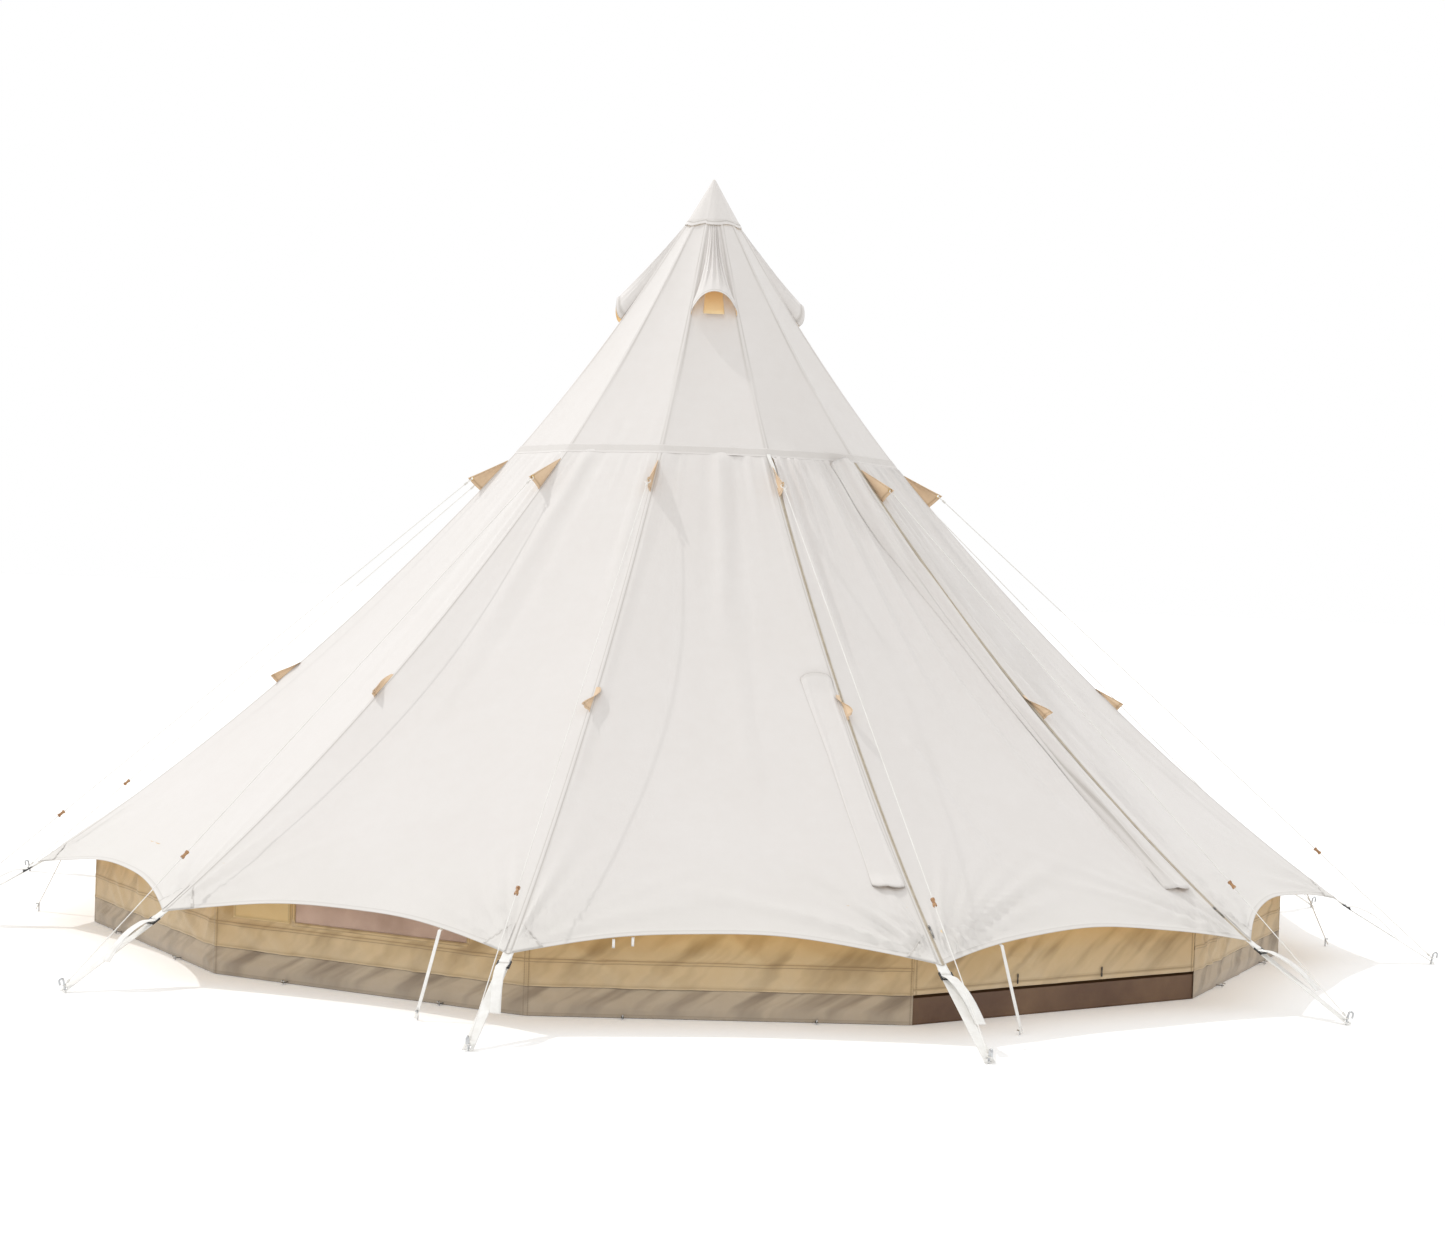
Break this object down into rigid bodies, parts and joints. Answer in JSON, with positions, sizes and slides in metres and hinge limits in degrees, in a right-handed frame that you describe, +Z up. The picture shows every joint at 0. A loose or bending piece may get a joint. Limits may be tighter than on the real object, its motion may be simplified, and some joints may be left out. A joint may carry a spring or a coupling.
{
  "type": "bell tent",
  "caption": "Round-plan bell tent on one centre pole: concave cotton canopy with hooded vents, low upright walls, groundsheet, lifting door, guy lines and pegged straps.",
  "frame": {"origin": "centre of the groundsheet's underside, on the ground", "axes": "+Z up along the centre pole, -Y towards the front panel, with the door in the next panel towards +X"},
  "size_m": [6.6678, 6.6678, 3.74],
  "materials": {
    "canopy_cotton": "matte woven cotton",
    "wall_cotton": "matte woven cotton, sunlit from behind",
    "fin_cotton": "matte woven cotton",
    "tape": "woven tape",
    "webbing": "ribbed woven webbing",
    "cord": "braided",
    "groundsheet": "coated, leather-like, brown",
    "window_mesh": "fine mesh",
    "patch": "matte woven cotton",
    "elastic": "woven elastic",
    "buckle": "moulded, black",
    "zip": "coil zip",
    "pull": "dark metal",
    "steel": "galvanised",
    "brass": "brushed",
    "wood": "oiled beech",
    "pole_plastic": "moulded"
  },
  "bodies": {
    "tent": {"canopy_cap": "canopy_cotton", "canopy_crown": "canopy_cotton", "canopy_upper": "canopy_cotton", "canopy_lower": "canopy_cotton", "seam_band": "canopy_cotton", "ridge_tapes": "tape", "vent_hoods": "canopy_cotton", "vent_meshes": "window_mesh", "top_fins": "fin_cotton", "fin_eyelets": "brass", "spare_fins": "fin_cotton", "storm_flap_left": "canopy_cotton", "zip_tapes": "zip", "eave_straps": "webbing", "eave_pegs": "steel", "corner_webs": "webbing", "corner_buckles": "buckle", "corner_straps": "webbing", "corner_pegs": "steel", "guy_lines": "cord", "wall_panels": "wall_cotton", "wall_skirt": "wall_cotton", "wall_loops": "elastic", "wall_pegs": "steel", "window_mesh": "window_mesh", "window_pocket": "patch", "groundsheet": "groundsheet", "groundsheet_tub": "groundsheet", "pole_upper_tube": "steel", "pole_tip": "pole_plastic"},
    "door": {"door_panel": "canopy_cotton", "door_zips": "zip", "zip_sliders": "pull", "storm_flap_right": "canopy_cotton", "door_strap": "webbing"},
    "wall_door": {"wall_door": "wall_cotton", "wall_door_toggles": "elastic"},
    "pole_lower": {"pole_lower_tube": "steel", "pole_foot": "pole_plastic", "pole_collar": "pole_plastic"},
    "clamp_screw": {"clamp_screw": "pole_plastic"},
    "window_cover": {"window_cover": "wall_cotton", "window_toggles": "wood"},
    "vent_flap_1": {"vent_flap_1": "wall_cotton"},
    "vent_flap_2": {"vent_flap_2": "wall_cotton"},
    "vent_flap_3": {"vent_flap_3": "wall_cotton"},
    "vent_flap_4": {"vent_flap_4": "wall_cotton"},
    "guy_runner_1": {"guy_runner_1": "wood"},
    "guy_runner_2": {"guy_runner_2": "wood"},
    "guy_runner_3": {"guy_runner_3": "wood"},
    "guy_runner_4": {"guy_runner_4": "wood"},
    "guy_runner_5": {"guy_runner_5": "wood"},
    "guy_runner_6": {"guy_runner_6": "wood"},
    "guy_runner_7": {"guy_runner_7": "wood"},
    "guy_runner_8": {"guy_runner_8": "wood"},
    "guy_runner_9": {"guy_runner_9": "wood"},
    "guy_runner_10": {"guy_runner_10": "wood"},
    "guy_runner_11": {"guy_runner_11": "wood"},
    "guy_runner_12": {"guy_runner_12": "wood"}
  },
  "joints": [
    {"name": "door_lift", "type": "hinge", "parent": "tent", "child": "door", "pos_m": [0.44433, -0.7696, 2.16], "axis": [-0.866, -0.5, 0], "range_deg": [0, 55]},
    {"name": "wall_door_lift", "type": "hinge", "parent": "tent", "child": "wall_door", "pos_m": [1.32665, -2.29782, 0.43944], "axis": [0.866, 0.5, 0], "range_deg": [0, 80]},
    {"name": "pole_slide", "type": "slide", "parent": "tent", "child": "pole_lower", "axis": [0, 0, 1], "range_m": [0, 0.3]},
    {"name": "clamp_screw_turn", "type": "hinge", "parent": "pole_lower", "child": "clamp_screw", "pos_m": [0.03, 0, 1.774], "axis": [1, 0, 0], "range_deg": [0, 450]},
    {"name": "window_cover_lift", "type": "hinge", "parent": "tent", "child": "window_cover", "pos_m": [-1.27344, -2.32566, 0.40744], "axis": [0.866, -0.5, 0], "range_deg": [0, 80]},
    {"name": "vent_flap_1_fold", "type": "hinge", "parent": "tent", "child": "vent_flap_1", "pos_m": [0, -0.40853, 2.81886], "axis": [-1, 0, 0], "range_deg": [0, 50]},
    {"name": "vent_flap_2_fold", "type": "hinge", "parent": "tent", "child": "vent_flap_2", "pos_m": [0.40853, 0, 2.81886], "axis": [0, -1, 0], "range_deg": [0, 50]},
    {"name": "vent_flap_3_fold", "type": "hinge", "parent": "tent", "child": "vent_flap_3", "pos_m": [0, 0.40853, 2.81886], "axis": [1, 0, 0], "range_deg": [0, 50]},
    {"name": "vent_flap_4_fold", "type": "hinge", "parent": "tent", "child": "vent_flap_4", "pos_m": [-0.40853, 0, 2.81886], "axis": [0, 1, 0], "range_deg": [0, 50]},
    {"name": "guy_runner_1_slide", "type": "slide", "parent": "tent", "child": "guy_runner_1", "axis": [-0.1952, 0.7284, 0.6568], "range_m": [0, 0.5]},
    {"name": "guy_runner_2_slide", "type": "slide", "parent": "tent", "child": "guy_runner_2", "axis": [-0.5332, 0.5332, 0.6568], "range_m": [0, 0.5]},
    {"name": "guy_runner_3_slide", "type": "slide", "parent": "tent", "child": "guy_runner_3", "axis": [-0.7284, 0.1952, 0.6568], "range_m": [0, 0.5]},
    {"name": "guy_runner_4_slide", "type": "slide", "parent": "tent", "child": "guy_runner_4", "axis": [-0.7284, -0.1952, 0.6568], "range_m": [0, 0.5]},
    {"name": "guy_runner_5_slide", "type": "slide", "parent": "tent", "child": "guy_runner_5", "axis": [-0.5332, -0.5332, 0.6568], "range_m": [0, 0.5]},
    {"name": "guy_runner_6_slide", "type": "slide", "parent": "tent", "child": "guy_runner_6", "axis": [-0.1952, -0.7284, 0.6568], "range_m": [0, 0.5]},
    {"name": "guy_runner_7_slide", "type": "slide", "parent": "tent", "child": "guy_runner_7", "axis": [0.1952, -0.7284, 0.6568], "range_m": [0, 0.5]},
    {"name": "guy_runner_8_slide", "type": "slide", "parent": "tent", "child": "guy_runner_8", "axis": [0.5332, -0.5332, 0.6568], "range_m": [0, 0.5]},
    {"name": "guy_runner_9_slide", "type": "slide", "parent": "tent", "child": "guy_runner_9", "axis": [0.7284, -0.1952, 0.6568], "range_m": [0, 0.5]},
    {"name": "guy_runner_10_slide", "type": "slide", "parent": "tent", "child": "guy_runner_10", "axis": [0.7284, 0.1952, 0.6568], "range_m": [0, 0.5]},
    {"name": "guy_runner_11_slide", "type": "slide", "parent": "tent", "child": "guy_runner_11", "axis": [0.5332, 0.5332, 0.6568], "range_m": [0, 0.5]},
    {"name": "guy_runner_12_slide", "type": "slide", "parent": "tent", "child": "guy_runner_12", "axis": [0.1952, 0.7284, 0.6568], "range_m": [0, 0.5]}
  ]
}
